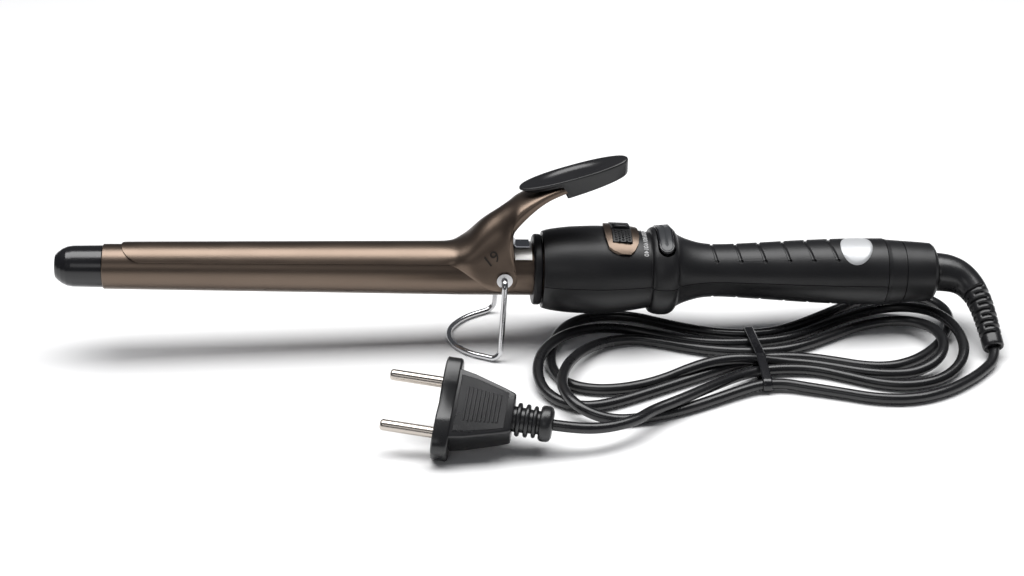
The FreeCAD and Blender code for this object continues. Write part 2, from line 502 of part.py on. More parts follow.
# ------------------------------------------------------------------ tail and swivel
turned("tail_cap", [(("tail_start", 0), 12.6), (313.4, 12.25), (318.6, 11.9), (318.75, 11.45), (319.1, 11.45), (319.25, 11.85), (326.0, 11.45), (330.2, 11.1), (331.2, 10.35),
                    (("tail_end", 0), 9.4), (("tail_end", 0), ("sleeve_rad", 0.08)), (309.3, ("sleeve_rad", 0.08)), (309.3, 9.9), (("tail_start", 0), 9.9)])
turned("swivel_sleeve", [(303.2, 2.3), (303.2, 4.2), (307.2, 4.2), (307.2, 7.6), (308.9, 7.6), (308.9, ("sleeve_rad", 0)), (332.1, ("sleeve_rad", 0)), (332.1, 2.3)])
turned("swivel_contacts", [(304.0, 4.2), (304.0, 5.0), (306.4, 5.0), (306.4, 4.2)])
feature("contact_brushes", Part.makeCompound([box(303.0, 307.0, -1.5, 1.5, 5.35, 5.75), box(303.0, 307.0, -1.5, 1.5, -5.75, -5.35)]))
ribs = []


def loc(p):
    return PL_INV.multVec(Vector(*p))


# elbow: round sections along the bend, then the slim relief that reaches the surface
e_end = loc((182.2, -29.6, 4.25))
start_x = 332.4
dirw = Vector(0.05, -0.870, -0.490)
dirw = dirw / dirw.Length
c0, c1, c3 = Vector(start_x, 0, 0), Vector(350.0, 0, 0), e_end
c2 = loc(tuple(PL.multVec(e_end) - dirw * 17.0))
BOOT_R = [(0, 7.4), (0.1, 7.2), (0.2, 6.75), (0.35, 5.75), (0.5, 5.0), (0.65, 4.6), (0.8, 4.3), (0.9, 4.1), (1.0, 4.0)]
pts = []
for u, rr in BOOT_R:
    p = c0 * ((1 - u) ** 3) + c1 * (3 * u * (1 - u) ** 2) + c2 * (3 * u * u * (1 - u)) + c3 * (u ** 3)
    tv = (c1 - c0) * (3 * (1 - u) ** 2) + (c2 - c1) * (6 * u * (1 - u)) + (c3 - c2) * (3 * u * u)
    pts.append((p, tv / tv.Length, rr))
ws = [Part.Wire([Part.Circle(p, n, r).toShape()]) for p, n, r in pts]
boot = Part.makeLoft(ws, True, True)
boot = boot.cut(cyl(2.2, (332.0, 0, 0), (1, 0, 0), 3.0))
feature("cord_boot", boot)

# ------------------------------------------------------------------ cord, where it lies
d0 = dirw
LEAD = [tuple(PL.multVec(e_end) + d0 * 1.0), (181.0, -34.6, 2.5), (177.0, -39.8, 2.05), (169.2, -47.4, 2.05), (158.2, -55.4, 2.05), (145.0, -60.4, 2.05),
        (131.5, -59.5, 2.05), (118.5, -54.0, 2.05), (107.0, -49.5, 2.05)]
feature("cord_lead", tube("cord_lead", LEAD, D["cord_rad"]), Placement())


def blob(pts, z0, z1):
    bs = Part.BSplineCurve()
    bs.interpolate([Vector(x, y, z0) for x, y in pts], PeriodicFlag=True)
    return Part.Face(Part.Wire([bs.toShape()])).extrude(Vector(0, 0, z1 - z0))


HANK = [(6.9, -43), (7.2, -26), (12.5, -9), (22, 3.5), (38, 6.4), (54, 1.5), (68, -9.5), (82, -17), (96, -20.5), (108, -13.5), (121, -2.0), (136, 11.0), (152, 19.5), (166, 19.5), (175.5, 10.5),
        (179.4, -6.0), (177.0, -24.5), (169.0, -41.0), (158.0, -52.6), (145.0, -55.2), (132.5, -52.0), (121.0, -49.5), (108.0, -52.0), (95.0, -52.5), (82.5, -58.5), (67.0, -65.0), (52.0, -71.5), (36.5, -75.6),
        (22.0, -71.8), (12.0, -59.5)]
hank = blob(HANK, 0.1, 6.2)
HANK2 = [(46.0, -52), (58, -26), (78, -18.8), (96, -21.2), (112, -17), (136, -16.0), (152, -22), (160.5, -36.0), (150, -47.5), (126, -47), (96, -50.5), (70, -60), (52, -64)]
hank = hank.fuse(blob(HANK2, 3.0, 12.7))
band_x0, band_x1 = 90.9, 94.6
band_out = box(band_x0, band_x1, -52.3, -20.3, 0.1, 13.2)
band_in = box(band_x0 - 1, band_x1 + 1, -51.5, -21.1, 0.9, 12.4)
band = band_out.cut(band_in)
neck_cut = box(band_x0, band_x1, -70, 0, -1, 20).cut(band_in)
hank = hank.cut(neck_cut)
hank = hank.cut(cyl(37.9, (pv.x, -21.6, pv.z), (0, 1, 0), 43.2))  # room for the folding stand
hank = max(hank.Solids, key=lambda s: s.Volume)
feature("cord_hank", hank, Placement())
feature("cord_tie", band, Placement())
hole_lead = None

# plug: axis from the pins to the cord, rolled so that one pin rides higher
tip_mid = Vector(-46.2, -70.4, 16.2)
exit_p = Vector(11.3, -82.1, 10.4)
u = exit_p - tip_mid
plug_len = u.Length
u = u / plug_len
hvec = Vector(-u.y, u.x, 0)
hvec = hvec / hvec.Length
upv = u.cross(hvec)
if upv.z < 0:
    upv = upv * -1
roll = math.radians(36.0)
wide = hvec * math.cos(roll) + upv * math.sin(roll)
thin = u.cross(wide)
m = FreeCAD.Matrix(u.x, wide.x, thin.x, tip_mid.x, u.y, wide.y, thin.y, tip_mid.y, u.z, wide.z, thin.z, tip_mid.z, 0, 0, 0, 1)
PLUG = Placement(m)
# plug frame: x from the pin tips to the cord, y across the pins
pr, pp, plen = D["pin_rad"], D["pin_half_pitch"], D["pin_length"]
pins = []
for sgn in (-1, 1):
    pn = cyl(pr, (0.0, sgn * pp, 0), (1, 0, 0), plen).fuse(cyl(pr - 0.3, (plen - 1, sgn * pp, 0), (1, 0, 0), 7.0))
    pn = pn.makeFillet(1.1, [e for e in pn.Edges if e.Curve.TypeId == "Part::GeomCircle" and abs(e.Curve.Center.x) < 0.01])
    pins.append(pn)
feature("plug_pins", Part.makeCompound(pins), PLUG)


def rounded(x0, x1, hy, hz, r):
    s = box(x0, x1, -hy, hy, -hz, hz)
    return s.makeFillet(r, [e for e in s.Edges if abs(e.tangentAt(e.FirstParameter).x) > 0.99])


flange = rounded(plen, plen + 5.8, 18.4, 7.6, 7.5)
flange = flange.makeFillet(1.2, [e for e in flange.Edges if abs(e.BoundBox.XLength) < 0.01])


def sec(x, hy, hz):
    n = 32
    ps = []
    for k in range(n):
        a = 2 * math.pi * k / n
        ps.append(Vector(x, hy * math.copysign(abs(math.cos(a)) ** 0.6, math.cos(a)), hz * math.copysign(abs(math.sin(a)) ** 0.6, math.sin(a))))
    b = Part.BSplineCurve()
    b.interpolate(ps, PeriodicFlag=True)
    return Part.Wire([b.toShape()])


grip = Part.makeLoft([sec(plen + 5.8, 12.6, 7.0), sec(plen + 12, 11.6, 6.8), sec(plen + 20, 9.4, 6.4), sec(plen + 26.0, 7.0, 6.0)], True, False)
collar = grip.fuse([cyl(5.4, (plen + 26.0, 0, 0), (1, 0, 0), plug_len - plen - 30.6)])
plug_body = flange.fuse(collar)
plug_body = plug_body.cut(pins)
feature("plug_body", max(plug_body.Solids, key=lambda s: s.Volume), PLUG)
relief = cyl(6.0, (plug_len - 4.6, 0, 0), (1, 0, 0), 4.6)
feature("plug_relief", relief, PLUG)
ex = PLUG.multVec(Vector(plug_len, 0, 0))
d1 = ex - PLUG.multVec(Vector(plug_len - 10, 0, 0))
d1 = d1 / d1.Length
END = [tuple(ex), tuple(ex + d1 * 8.0), (30.0, -82.6, 8.6), (41.5, -76.0, 8.2), (51.5, -67.0, 9.0)]
feature("plug_lead", tube("plug_lead", END, D["cord_rad"]), Placement())

doc.recompute()
bad = 0
for obj in doc.Objects:
    st = [s for s in obj.State if s in ("Invalid", "Error")]
    if st:
        print("STATE", obj.Label, obj.State)
        bad += 1
for obj in PARTS:
    s = obj.Shape
    if s.isNull() or not s.isValid() or not s.Solids:
        print("SHAPE", obj.Label, s.isNull(), s.isNull() or s.isValid())
        bad += 1
print("parts", len(PARTS), "bad", bad)
for k, v in RADII.items():
    print(k, "radii", v[0], "length", v[1], "volume ratio", v[2])
if bad:
    raise SystemExit("a sub-part failed")
os.makedirs("parts", exist_ok=True)
for obj in PARTS:
    obj.Shape.exportStep("parts/%s.step" % obj.Label)
box_all = None
for obj in PARTS:
    bb = obj.Shape.optimalBoundingBox(False)
    print("%-18s solids %d vol %9.1f  x %7.1f %7.1f  y %6.1f %6.1f  z %6.1f %6.1f" % (obj.Label, len(obj.Shape.Solids), obj.Shape.Volume, bb.XMin, bb.XMax, bb.YMin, bb.YMax, bb.ZMin, bb.ZMax))
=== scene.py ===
import bpy, bmesh, math
from mathutils import Vector, Matrix


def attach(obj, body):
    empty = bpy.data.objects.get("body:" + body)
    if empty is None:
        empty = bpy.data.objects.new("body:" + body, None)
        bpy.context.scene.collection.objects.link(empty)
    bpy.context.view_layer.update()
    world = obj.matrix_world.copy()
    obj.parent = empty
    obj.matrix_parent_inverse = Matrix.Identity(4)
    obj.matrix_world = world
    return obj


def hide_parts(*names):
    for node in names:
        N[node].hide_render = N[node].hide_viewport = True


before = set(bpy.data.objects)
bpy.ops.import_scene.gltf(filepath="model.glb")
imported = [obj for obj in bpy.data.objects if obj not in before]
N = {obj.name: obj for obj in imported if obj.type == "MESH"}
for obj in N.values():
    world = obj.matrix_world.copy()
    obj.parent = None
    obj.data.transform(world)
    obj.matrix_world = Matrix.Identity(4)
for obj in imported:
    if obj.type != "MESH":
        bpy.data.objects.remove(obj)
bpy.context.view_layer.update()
MM = 0.001
LEAN = math.radians(2.5)
CB, SB = math.cos(LEAN), math.sin(LEAN)
Z0 = 29.0 + 166.25 * SB
PX, PZ = 166.25, 1.2


def W(x, y, z):
    """A point of the iron's own frame (mm from the tip along the axis) in the row frame, in metres."""
    return Vector(((-166.84 + x * CB + z * SB) * MM, y * MM, (Z0 - x * SB + z * CB) * MM))


def V(x, y, z):
    return Vector((x * MM, y * MM, z * MM))


# ------------------------------------------------------------------ camera and light
cam_d = bpy.data.cameras.new("cam")
cam_d.lens = 68.55
cam_d.sensor_width = 36.0
cam_d.clip_start = 0.02
cam = bpy.data.objects.new("cam", cam_d)
bpy.context.collection.objects.link(cam)
CAM = V(-42.72, -651.65, 368.04)
TGT = V(2.85, 0.14, 20.63)
cam.location = CAM
cam.rotation_euler = (TGT - CAM).to_track_quat("-Z", "Y").to_euler()
bpy.context.scene.camera = cam
bpy.context.scene.view_settings.view_transform = "Standard"

world = bpy.data.worlds.new("world")
bpy.context.scene.world = world
world.use_nodes = True
world.node_tree.nodes["Background"].inputs["Color"].default_value = (0.9, 0.92, 1.0, 1)
world.node_tree.nodes["Background"].inputs["Strength"].default_value = 0.10


def area(name, loc, target, sx, sy, power, color=(1, 1, 1)):
    d = bpy.data.lights.new(name, "AREA")
    d.shape = "RECTANGLE"
    d.size, d.size_y = sx, sy
    d.energy = power
    d.color = color
    o = bpy.data.objects.new(name, d)
    o.location = loc
    o.rotation_euler = (Vector(target) - Vector(loc)).to_track_quat("-Z", "Y").to_euler()
    bpy.context.collection.objects.link(o)
    return o


area("soft_top", (0.0, 0.08, 0.85), (0, 0, 0), 1.4, 0.56, 14.2)
area("soft_front", (-0.35, -1.2, 0.75), (0, 0, 0.02), 0.7, 0.4, 0.9)

floor_m = bpy.data.meshes.new("floor")
floor_m.from_pydata([(-6, -6, 0), (6, -6, 0), (6, 6, 0), (-6, 6, 0)], [], [(0, 1, 2, 3)])
floor = bpy.data.objects.new("floor", floor_m)
floor.location.z = -0.0002
bpy.context.collection.objects.link(floor)


# ------------------------------------------------------------------ materials
def mat(name, color, rough=0.4, metal=0.0, bump=0.0, bump_scale=900.0, rough_var=0.0, coat=0.0, coat_rough=0.1, stretch=None, col_var=0.0, spec=None, aniso=0.0, detail=2.0):
    m = bpy.data.materials.new(name)
    m.use_nodes = True
    nt = m.node_tree
    b = nt.nodes["Principled BSDF"]
    b.inputs["Base Color"].default_value = (*color, 1)
    b.inputs["Roughness"].default_value = rough
    b.inputs["Metallic"].default_value = metal
    if spec is not None:
        b.inputs["Specular IOR Level"].default_value = spec
    if coat:
        b.inputs["Coat Weight"].default_value = coat
        b.inputs["Coat Roughness"].default_value = coat_rough
    if aniso:
        b.inputs["Anisotropic"].default_value = aniso
    if bump or rough_var or col_var:
        tc = nt.nodes.new("ShaderNodeTexCoord")
        mp = nt.nodes.new("ShaderNodeMapping")
        nt.links.new(tc.outputs["Object"], mp.inputs["Vector"])
        if stretch:
            mp.inputs["Scale"].default_value = stretch
        nz = nt.nodes.new("ShaderNodeTexNoise")
        nz.inputs["Scale"].default_value = bump_scale
        nz.inputs["Detail"].default_value = detail
        nt.links.new(mp.outputs["Vector"], nz.inputs["Vector"])
        if bump:
            bp = nt.nodes.new("ShaderNodeBump")
            bp.inputs["Strength"].default_value = bump
            bp.inputs["Distance"].default_value = 0.00025
            nt.links.new(nz.outputs["Fac"], bp.inputs["Height"])
            nt.links.new(bp.outputs["Normal"], b.inputs["Normal"])
        if rough_var:
            n2 = nt.nodes.new("ShaderNodeTexNoise")
            n2.inputs["Scale"].default_value = 55.0
            n2.inputs["Detail"].default_value = 5.0
            nt.links.new(tc.outputs["Object"], n2.inputs["Vector"])
            mr = nt.nodes.new("ShaderNodeMapRange")
            mr.inputs["From Min"].default_value = 0.3
            mr.inputs["From Max"].default_value = 0.7
            mr.inputs["To Min"].default_value = max(0.02, rough - rough_var)
            mr.inputs["To Max"].default_value = rough + rough_var
            nt.links.new(n2.outputs["Fac"], mr.inputs["Value"])
            nt.links.new(mr.outputs["Result"], b.inputs["Roughness"])
        if col_var:
            mx = nt.nodes.new("ShaderNodeMix")
            mx.data_type = "RGBA"
            mx.inputs["A"].default_value = (*[c * (1 - col_var) for c in color], 1)
            mx.inputs["B"].default_value = (*[min(1, c * (1 + col_var)) for c in color], 1)
            n3 = nt.nodes.new("ShaderNodeTexNoise")
            n3.inputs["Scale"].default_value = 30.0
            n3.inputs["Detail"].default_value = 4.0
            nt.links.new(tc.outputs["Object"], n3.inputs["Vector"])
            nt.links.new(n3.outputs["Fac"], mx.inputs["Factor"])
            nt.links.new(mx.outputs["Result"], b.inputs["Base Color"])
    return m


M = {
    "strap": mat("strap_steel", (0.72, 0.71, 0.69), 0.40, 1.0, bump=0.05, bump_scale=1500, rough_var=0.04),
    "ring": mat("black_ring", (0.007, 0.007, 0.008), 0.40, 0.0, bump=0.03, bump_scale=1500, rough_var=0.03, spec=0.3),
    "floor": mat("floor_white", (0.93, 0.93, 0.93), 0.6),
    "bronze": mat("bronze_satin", (0.155, 0.118, 0.093), 0.35, 1.0, bump=0.05, bump_scale=1400, rough_var=0.03, col_var=0.04),
    "black": mat("black_satin", (0.007, 0.007, 0.008), 0.40, 0.0, bump=0.10, bump_scale=2600, rough_var=0.04, spec=0.46),
    "gloss": mat("black_gloss", (0.008, 0.008, 0.0095), 0.20, 0.0, bump=0.02, bump_scale=1200, rough_var=0.03, spec=0.6),
    "paddle": mat("black_paddle", (0.008, 0.008, 0.009), 0.33, 0.0, bump=0.04, bump_scale=1800, rough_var=0.04, spec=0.6),
    "steel": mat("bright_steel", (0.60, 0.60, 0.61), 0.16, 1.0, bump=0.03, bump_scale=1500, rough_var=0.04),
    "spring": mat("spring_steel", (0.42, 0.43, 0.46), 0.24, 1.0, bump=0.05, bump_scale=1500),
    "nickel": mat("nickel_pin", (0.55, 0.50, 0.45), 0.24, 1.0, bump=0.04, bump_scale=1500, rough_var=0.05),
    "cord": mat("cord_pvc", (0.0095, 0.0095, 0.0105), 0.27, 0.0, bump=0.06, bump_scale=700, rough_var=0.05, spec=0.6),
    "plug": mat("plug_pvc", (0.010, 0.010, 0.011), 0.30, 0.0, bump=0.05, bump_scale=1500, rough_var=0.05, spec=0.6),
    "alu": mat("aluminium_bare", (0.62, 0.63, 0.65), 0.4, 1.0, bump=0.1, bump_scale=800),
    "ceramic": mat("ceramic_white", (0.75, 0.73, 0.68), 0.5, 0.0, bump=0.1, bump_scale=900),
    "mica": mat("mica_sheet", (0.55, 0.46, 0.30), 0.45, 0.0, bump=0.1, bump_scale=600, col_var=0.2),
    "board": mat("board_green", (0.02, 0.12, 0.045), 0.45, 0.0, bump=0.05, bump_scale=900, col_var=0.1),
    "brass": mat("brass_part", (0.68, 0.5, 0.2), 0.28, 1.0, bump=0.05, bump_scale=900),
    "grey": mat("grey_part", (0.10, 0.10, 0.105), 0.45, 0.0, bump=0.1, bump_scale=1600),
    "lens": mat("lens_grey", (0.035, 0.037, 0.04), 0.34, 0.0, bump=0.01, bump_scale=500, spec=0.6),
    "print": mat("print_white", (0.62, 0.62, 0.62), 0.5, 0.0, bump=0.05, bump_scale=2000),
    "label": mat("label_silver", (0.56, 0.57, 0.58), 0.40, 0.25, bump=0.05, bump_scale=1200, rough_var=0.05),
}
floor_m.materials.append(M["floor"])
NODE_MAT = {
    "cool_tip": "gloss", "tip_screw": "grey", "barrel": "bronze", "heater_halves": "alu", "ptc_element": "ceramic", "mica_sleeve": "mica",
    "thermal_fuse": "nickel", "heater_leads": "ceramic", "barrel_holder": "black", "front_ring": "ring", "saddle_bracket": "strap",
    "pivot_eyelets": "steel", "clamp_spring": "spring", "upper_shell": "black", "lower_shell": "black", "shell_screws": "steel",
    "potentiometer": "grey", "pot_bracket": "black", "button_switch": "grey", "switch_post": "black", "circuit_board": "board",
    "board_parts": "grey", "indicator_led": "lens", "tail_cap": "black", "contact_brushes": "brass", "cord_lead": "cord", "cord_hank": "cord",
    "cord_tie": "gloss", "plug_pins": "nickel", "plug_body": "plug", "plug_relief": "plug", "plug_lead": "cord", "button_spring": "spring",
    "clamp_lever": "bronze", "thumb_paddle": "paddle", "wire_stand": "steel", "slider_plate": "bronze", "slider_knob": "black",
    "slider_arm": "black", "power_button": "lens", "swivel_sleeve": "black", "swivel_contacts": "brass", "cord_boot": "plug"}
for n, key in NODE_MAT.items():
    o = N.get(n)
    if o is None:
        continue
    if not o.data.materials:
        o.data.materials.append(M[key])
    for i in range(len(o.material_slots)):
        o.material_slots[i].link = "OBJECT"
        o.material_slots[i].material = M[key]

# ------------------------------------------------------------------ the cord
ROUTE = [
    (182.2, -30.4, 3.76), (181.0, -34.8, 2.50), (176.8, -40.2, 2.10), (168.9, -47.9, 2.10), (157.8, -55.8, 2.10), (144.6, -60.4, 2.10), (131.2, -59.3, 2.10), (118.9, -54.2, 2.10),
    (106.8, -50.0, 2.10), (99.6, -47.4, 2.10), (91.0, -47.5, 2.10), (83.1, -50.5, 2.10), (73.6, -55.2, 2.10), (63.3, -60.3, 2.10), (52.6, -64.5, 2.10), (43.7, -66.8, 2.10),
    (35.4, -67.5, 2.30), (28.3, -66.4, 3.63), (23.0, -63.1, 5.10), (19.0, -57.5, 6.23), (17.1, -47.8, 6.60), (20.4, -34.4, 6.20), (27.6, -21.7, 4.80), (37.3, -12.7, 3.20),
    (48.5, -9.2, 2.10), (59.8, -13.3, 2.10), (72.0, -18.9, 2.10), (82.0, -22.2, 2.10), (92.3, -24.0, 2.10), (102.4, -23.0, 2.10), (112.7, -19.2, 2.10), (123.2, -13.1, 2.20),
    (133.7, -7.4, 2.60), (145.1, -5.0, 3.60), (155.3, -7.9, 5.20), (161.9, -14.9, 6.30), (164.3, -24.6, 6.40), (161.5, -34.3, 5.77), (156.1, -40.1, 4.16), (148.7, -42.4, 2.30),
    (139.7, -42.5, 2.10), (130.8, -40.5, 2.10), (121.6, -36.6, 2.10), (112.5, -33.2, 2.10), (103.6, -32.2, 2.30), (94.4, -33.0, 4.00), (85.7, -34.9, 6.20), (78.1, -35.3, 6.30),
    (71.2, -36.9, 6.10), (64.1, -39.7, 5.40), (57.3, -41.3, 3.40), (48.6, -43.5, 2.10), (38.3, -46.0, 2.10), (29.6, -45.7, 2.10), (22.2, -42.7, 2.10), (17.1, -36.3, 2.10),
    (15.2, -26.2, 2.10), (16.7, -13.5, 2.10), (20.8, -1.4, 2.10), (28.2, 6.8, 2.10), (38.8, 10.1, 2.10), (50.7, 8.1, 2.10), (61.9, 1.3, 2.10), (73.0, -4.8, 2.10),
    (85.0, -9.4, 2.10), (97.9, -10.4, 2.10), (108.8, -6.0, 2.10), (119.9, 1.0, 2.10), (130.6, 8.2, 2.10), (143.1, 16.0, 2.10), (154.9, 19.7, 2.10), (164.2, 17.8, 2.10),
    (170.8, 12.0, 2.10), (173.6, 3.1, 2.10), (171.4, -8.0, 2.10), (165.4, -19.3, 2.10), (157.6, -28.3, 2.10), (149.7, -34.1, 2.10), (141.0, -37.1, 2.10), (131.8, -36.2, 2.10),
    (121.8, -32.0, 2.10), (113.4, -29.1, 2.10), (104.5, -27.9, 2.10), (95.4, -28.1, 2.10), (85.7, -31.5, 2.10), (75.6, -35.8, 2.10), (62.4, -42.3, 2.10), (49.2, -49.0, 2.10),
    (38.1, -54.4, 2.10), (30.5, -56.9, 2.10), (24.7, -57.2, 2.11), (19.0, -55.3, 2.19), (13.8, -50.8, 2.43), (10.1, -43.0, 3.20), (9.7, -32.0, 4.80), (13.3, -21.6, 6.20),
    (20.9, -12.6, 6.40), (31.1, -6.2, 5.60), (43.2, -4.0, 4.20), (54.8, -6.4, 2.60), (66.1, -11.0, 2.10), (77.8, -15.4, 2.10), (90.2, -16.7, 2.10), (100.8, -15.6, 2.10),
    (110.7, -12.0, 2.10), (122.3, -4.6, 2.10), (134.9, 3.1, 2.10), (148.1, 7.4, 2.60), (159.5, 4.4, 4.40), (167.3, -4.6, 6.30), (171.5, -17.3, 6.40), (171.0, -30.5, 5.60),
    (166.8, -39.8, 3.40), (158.1, -47.5, 2.10), (145.5, -51.3, 2.10), (134.6, -49.1, 2.10), (124.5, -43.4, 2.10), (114.1, -37.9, 2.10), (104.0, -36.4, 2.10), (93.7, -37.2, 2.10),
    (84.2, -42.1, 3.40), (71.8, -51.7, 5.20), (58.9, -61.9, 6.40), (47.6, -68.7, 6.50), (41.5, -76.0, 7.40), (30.5, -81.7, 8.20), (20.0, -83.7, 9.50), (11.3, -82.1, 10.40)]


def nurbs(name, pts, r, material):
    cu = bpy.data.curves.new(name, "CURVE")
    cu.dimensions = "3D"
    sp = cu.splines.new("NURBS")
    sp.points.add(len(pts) - 1)
    for p, q in zip(sp.points, pts):
        p.co = (q[0] * MM, q[1] * MM, q[2] * MM, 1)
    sp.order_u = 3
    sp.use_endpoint_u = True
    sp.resolution_u = 10
    cu.bevel_depth = r * MM
    cu.bevel_resolution = 6
    cu.use_fill_caps = True
    cu.materials.append(material)
    o = bpy.data.objects.new(name, cu)
    bpy.context.collection.objects.link(o)
    return o


def curve_len(pts):
    o = nurbs("measure", pts, 0, M["cord"])
    o.data.bevel_depth = 0
    me = bpy.data.meshes.new_from_object(o)
    L = sum((me.vertices[e.vertices[0]].co - me.vertices[e.vertices[1]].co).length for e in me.edges)
    bpy.data.objects.remove(o)
    return L


ROUTE = [(x, y, z + 0.75 * math.exp(-((x - 92.7) / 16.0) ** 2)) for x, y, z in ROUTE]
CORD_LEN = curve_len(ROUTE)
cord_line = nurbs("cord_line", ROUTE, 0, M["cord"])
cord_line.data.bevel_depth = 0
print("cord length", round(CORD_LEN, 4))
cord = nurbs("power_cord", ROUTE, 2.0, M["cord"])
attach(cord, "root")
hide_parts("cord_lead", "cord_hank", "plug_lead")


# ------------------------------------------------------------------ pieces
def add_mesh(name, verts, faces, material, body="root", smooth=True, slots=None):
    me = bpy.data.meshes.new(name)
    me.from_pydata([tuple(v) for v in verts], [], faces)
    bm = bmesh.new()
    bm.from_mesh(me)
    bmesh.ops.recalc_face_normals(bm, faces=bm.faces)
    bm.to_mesh(me)
    bm.free()
    me.materials.append(material)
    if slots:
        for m_, _ in slots:
            me.materials.append(m_)
        for n_, (_, test) in enumerate(slots):
            for p in me.polygons:
                if test(p):
                    p.material_index = n_ + 1
    o = bpy.data.objects.new(name, me)
    bpy.context.collection.objects.link(o)
    if smooth:
        for p in me.polygons:
            p.use_smooth = True
    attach(o, body)
    return o


def grid(rows, closed=True, cap0=False, cap1=False):
    v, f = [], []
    n = len(rows[0])
    for r in rows:
        v += list(r)
    for i in range(len(rows) - 1):
        for j in range(n if closed else n - 1):
            a, b = i * n + j, i * n + (j + 1) % n
            f.append((a, b, b + n, a + n))
    if cap0:
        f.append(tuple(range(n)))
    if cap1:
        f.append(tuple(range((len(rows) - 1) * n, len(rows) * n)))
    return v, f


def sharp(o, deg=35):
    m_ = o.modifiers.new("edges", "EDGE_SPLIT")
    m_.split_angle = math.radians(deg)
    return o


def bevel(o, w, seg=2, deg=40):
    b = o.modifiers.new("bevel", "BEVEL")
    b.width = w * MM
    b.segments = seg
    b.limit_method = "ANGLE"
    b.angle_limit = math.radians(deg)
    b.harden_normals = False
    return o


def lathe(name, prof, material, body="root", n=96, cap=True):
    rows = []
    for x, r in prof:
        rows.append([W(x, r * math.sin(2 * math.pi * k / n), r * math.cos(2 * math.pi * k / n)) for k in range(n)])
    v, f = grid(rows, True, cap, cap)
    return add_mesh(name, v, f, material, body)


def surf(x, th, r):
    """A point at angle th (degrees, towards the near side) and radius r about the iron's axis."""
    a = math.radians(th)
    return W(x, -r * math.sin(a), r * math.cos(a))


def lerp_tab(tab, x):
    if x <= tab[0][0]:
        return tab[0][1]
    for (a, ra), (b, rb) in zip(tab[:-1], tab[1:]):
        if x <= b:
            return ra + (rb - ra) * (x - a) / (b - a)
    return tab[-1][1]


NECK = [(231.9, 13.9), (234.5, 12.55), (237.6, 11.45), (240.7, 10.65), (243.8, 10.2), (249.5, 10.05), (258.8, 10.5), (268.1, 11.05),
        (277.4, 11.65), (286.8, 12.15), (294.0, 12.45), (303.0, 12.65), (311.6, 12.75)]


# --- shells: the CAD halves with the grip grooves and pits cut in
def cutter(name, verts, faces):
    me = bpy.data.meshes.new(name)
    me.from_pydata([tuple(v) for v in verts], [], faces)
    bm = bmesh.new()
    bm.from_mesh(me)
    bmesh.ops.recalc_face_normals(bm, faces=bm.faces)
    bm.to_mesh(me)
    bm.free()
    o = bpy.data.objects.new(name, me)
    bpy.context.collection.objects.link(o)
    return o


def groove_solid(x, slant, half0, half1, width, depth):
    """A bent bar with a rounded V foot, lying along the handle's surface between two angles."""
    rows = []
    steps = 26
    for i in range(steps + 1):
        th = half0 + (half1 - half0) * i / steps
        xc = x + slant * (1 - abs(th) / 45.0)
        R = lerp_tab(NECK, xc)
        e = min(1.0, (steps - i) / 2.0 + 0.35, i / 2.0 + 0.35)
        w, d = width * e, depth * e
        rows.append([surf(xc - w, th, R + 0.5), surf(xc - w, th, R + 0.02), surf(xc - w * 0.35, th, R - d), surf(xc + w * 0.25, th, R - d), surf(xc + w, th, R + 0.02), surf(xc + w, th, R + 0.5)])
    return grid(rows, True, True, True)


GROOVES = [(246.4, -1.25), (255.6, -1.5), (264.7, -1.9), (273.95, -1.9), (283.1, -2.4), (292.2, -2.7)]
cut_v, cut_f, pit_v, pit_f = [], [], [], []
for gx, lean in GROOVES:
    for span in ((-46, 44), (136, 224)):
        v_, f_ = groove_solid(gx, lean if span[0] < 0 else 0.0, span[0], span[1], 0.75, 0.55)
        o_ = len(cut_v)
        cut_v += v_
        cut_f += [tuple(q + o_ for q in ff) for ff in f_]
    for th in (44, -46):
        R = lerp_tab(NECK, gx)
        rows = []
        for dr in (0.6, 0.1, -0.75):
            k_ = 1.0 if dr > -0.5 else 0.7
            rows.append([surf(gx + k_ * 0.95 * math.cos(q * math.pi / 8), th + math.degrees(k_ * 0.95 * math.sin(q * math.pi / 8) / R), R + dr) for q in range(16)])
        v_, f_ = grid(rows, True, True, True)
        o_ = len(pit_v)
        pit_v += v_
        pit_f += [tuple(q + o_ for q in ff) for ff in f_]


def remade(node, name, cut, material, body="root"):
    src = N[node]
    o = bpy.data.objects.new(name + "_src", src.data.copy())
    o.matrix_world = src.matrix_world.copy()
    bpy.context.collection.objects.link(o)
    bm = bmesh.new()
    bm.from_mesh(o.data)
    bmesh.ops.remove_doubles(bm, verts=bm.verts, dist=2e-6)
    bm.to_mesh(o.data)
    open_edges = sum(1 for e in bm.edges if len(e.link_faces) != 2)
    bm.free()
    print(name, "open edges", open_edges)
    dumb = []
    for n_, solid in enumerate(cut):
        c_ = cutter(name + "_cut%d" % n_, *solid)
        dumb.append(c_)
        m_ = o.modifiers.new("cut%d" % n_, "BOOLEAN")
        m_.operation = "DIFFERENCE"
        m_.solver = "EXACT"
        m_.object = c_
    bpy.context.view_layer.update()
    dg = bpy.context.evaluated_depsgraph_get()
    me = bpy.data.meshes.new_from_object(o.evaluated_get(dg))
    me.name = name
    out = bpy.data.objects.new(name, me)
    out.matrix_world = src.matrix_world.copy()
    bpy.context.collection.objects.link(out)
    bpy.data.objects.remove(o)
    for c_ in dumb:
        bpy.data.objects.remove(c_)
    me.materials.clear()
    me.materials.append(material)
    for p in me.polygons:
        p.use_smooth = True
        p.material_index = 0
    sharp(out, 28)
    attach(out, body)
    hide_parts(node)
    print(name, "faces", len(me.polygons))
    return out


